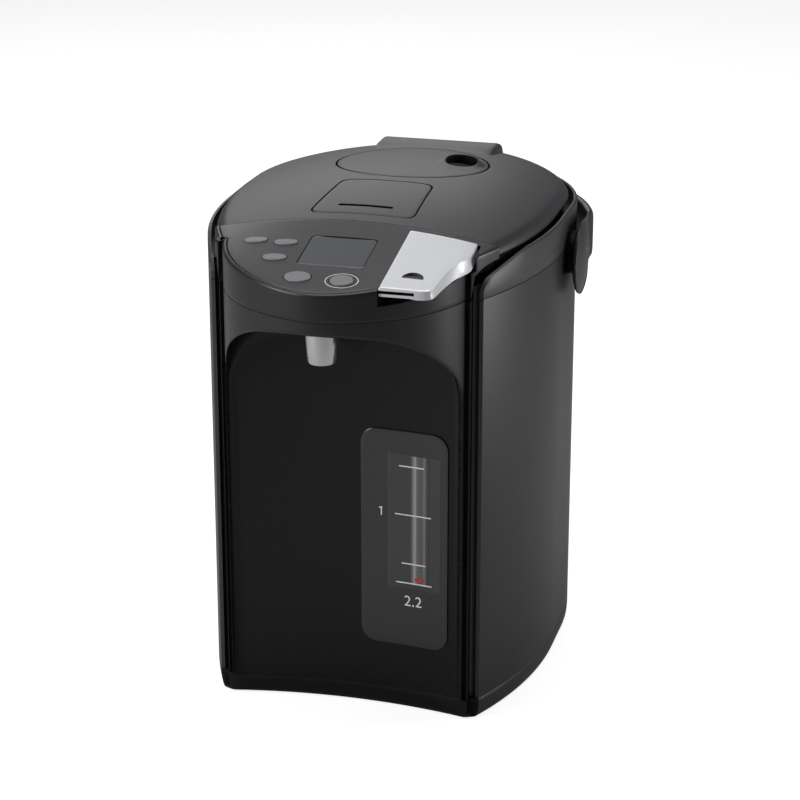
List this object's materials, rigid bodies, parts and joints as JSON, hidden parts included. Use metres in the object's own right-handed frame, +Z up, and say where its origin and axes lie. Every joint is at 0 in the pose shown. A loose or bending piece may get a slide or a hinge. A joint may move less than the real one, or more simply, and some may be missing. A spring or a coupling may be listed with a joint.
{
  "type": "electric thermo pot",
  "caption": "Tall electric hot-water pot with a hinged lid, bail handle, key panel, dispense lever, nozzle over an arched cup bay and a water gauge.",
  "frame": {"origin": "centre of the bounding box at floor level, under the feet", "axes": "+Z up, -Y towards the front with the nose, panel and cup bay, +X to the pot's left as it faces forward (viewer's right)"},
  "size_m": [0.209, 0.2903, 0.2734],
  "materials": {
    "satin_black": "satin",
    "black_steel": "satin",
    "gloss_black": "gloss",
    "black_plastic": "matt",
    "steel": "brushed",
    "nozzle_silver": "satin",
    "silver_lever": "satin",
    "key_grey": "satin",
    "rubber": "matt",
    "glass_clear": "clear",
    "white_plastic": "satin",
    "marker_red": "gloss",
    "board_green": "satin"
  },
  "bodies": {
    "pot": {"base_tray": "black_plastic", "rubber_feet": "rubber", "rear_shell": "black_steel", "front_housing": "gloss_black", "front_bezel": "satin_black", "rear_ring": "satin_black", "corner_strips": "black_plastic", "top_frame": "black_plastic", "control_panel": "satin_black", "display_window": "glass_clear", "display_module": "white_plastic", "control_board": "board_green", "key_switches": "black_plastic", "inner_vessel": "steel", "vacuum_jacket": "steel", "heater_plate": "steel", "heater_posts": "black_plastic", "thermistor": "steel", "pump_motor": "steel", "pump_housing": "black_plastic", "inlet_pipe": "rubber", "riser_pipe": "rubber", "spout_nozzle": "nozzle_silver", "gauge_plate": "gloss_black", "gauge_tube": "glass_clear", "gauge_backing": "white_plastic", "level_marker": "marker_red", "lever_pin": "steel", "hinge_pin": "steel", "handle_hubs": "satin_black", "handle_pivots": "steel", "power_inlet": "black_plastic", "inlet_pins": "steel", "power_board": "board_green", "base_screws": "steel"},
    "lid": {"lid_cover": "satin_black", "lid_tray": "black_plastic", "inner_lid": "white_plastic", "lid_gasket": "rubber", "steam_cap": "satin_black"},
    "lid_lever": {"lid_lever": "satin_black"},
    "lid_latch": {"lid_latch": "black_plastic"},
    "dispense_lever": {"dispense_lever": "silver_lever"},
    "handle": {"handle_bail": "satin_black"},
    "impeller": {"impeller": "black_plastic"},
    "key_temperature": {"key_temperature": "key_grey"},
    "key_save": {"key_save": "key_grey"},
    "key_timer": {"key_timer": "key_grey"},
    "key_reboil": {"key_reboil": "key_grey"},
    "key_unlock": {"key_unlock": "key_grey"}
  },
  "joints": [
    {"name": "lid_hinge", "type": "hinge", "parent": "pot", "child": "lid", "pos_m": [0, 0.11865, 0.258], "axis": [-1, 0, 0], "range_deg": [0, 85]},
    {"name": "lid_lever_hinge", "type": "hinge", "parent": "lid", "child": "lid_lever", "pos_m": [0, 0.00005, 0.2722], "axis": [-1, 0, 0], "range_deg": [0, 20], "stiffness_Nm_per_rad": 0.06, "springref_deg": -5.73},
    {"name": "lid_latch_slide", "type": "slide", "parent": "lid", "child": "lid_latch", "axis": [0, 1, 0], "range_m": [0, 0.005]},
    {"name": "dispense_lever_hinge", "type": "hinge", "parent": "pot", "child": "dispense_lever", "pos_m": [0, -0.07585, 0.26089], "axis": [1, 0, 0], "range_deg": [0, 3.2], "stiffness_Nm_per_rad": 4, "springref_deg": -1.15},
    {"name": "handle_hinge", "type": "hinge", "parent": "pot", "child": "handle", "pos_m": [0, 0.03265, 0.231], "axis": [1, 0, 0], "range_deg": [0, 100]},
    {"name": "impeller_spin", "type": "hinge", "parent": "pot", "child": "impeller", "pos_m": [0, -0.05135, 0.031], "axis": [0, 0, 1], "continuous": true},
    {"name": "key_temperature_press", "type": "slide", "parent": "pot", "child": "key_temperature", "axis": [0, 0, -1], "range_m": [0, 0.0008], "stiffness_N_per_m": 900, "springref_m": -0.0003},
    {"name": "key_save_press", "type": "slide", "parent": "pot", "child": "key_save", "axis": [0, 0, -1], "range_m": [0, 0.0008], "stiffness_N_per_m": 900, "springref_m": -0.0003},
    {"name": "key_timer_press", "type": "slide", "parent": "pot", "child": "key_timer", "axis": [0, 0, -1], "range_m": [0, 0.0008], "stiffness_N_per_m": 900, "springref_m": -0.0003},
    {"name": "key_reboil_press", "type": "slide", "parent": "pot", "child": "key_reboil", "axis": [0, 0, -1], "range_m": [0, 0.0008], "stiffness_N_per_m": 900, "springref_m": -0.0003},
    {"name": "key_unlock_press", "type": "slide", "parent": "pot", "child": "key_unlock", "axis": [0, 0, -1], "range_m": [0, 0.0008], "stiffness_N_per_m": 900, "springref_m": -0.0003}
  ],
  "couplings": [
    {"joint": "lid_latch_slide", "follows": "lid_lever_hinge", "m_per_rad": 0.0143}
  ]
}
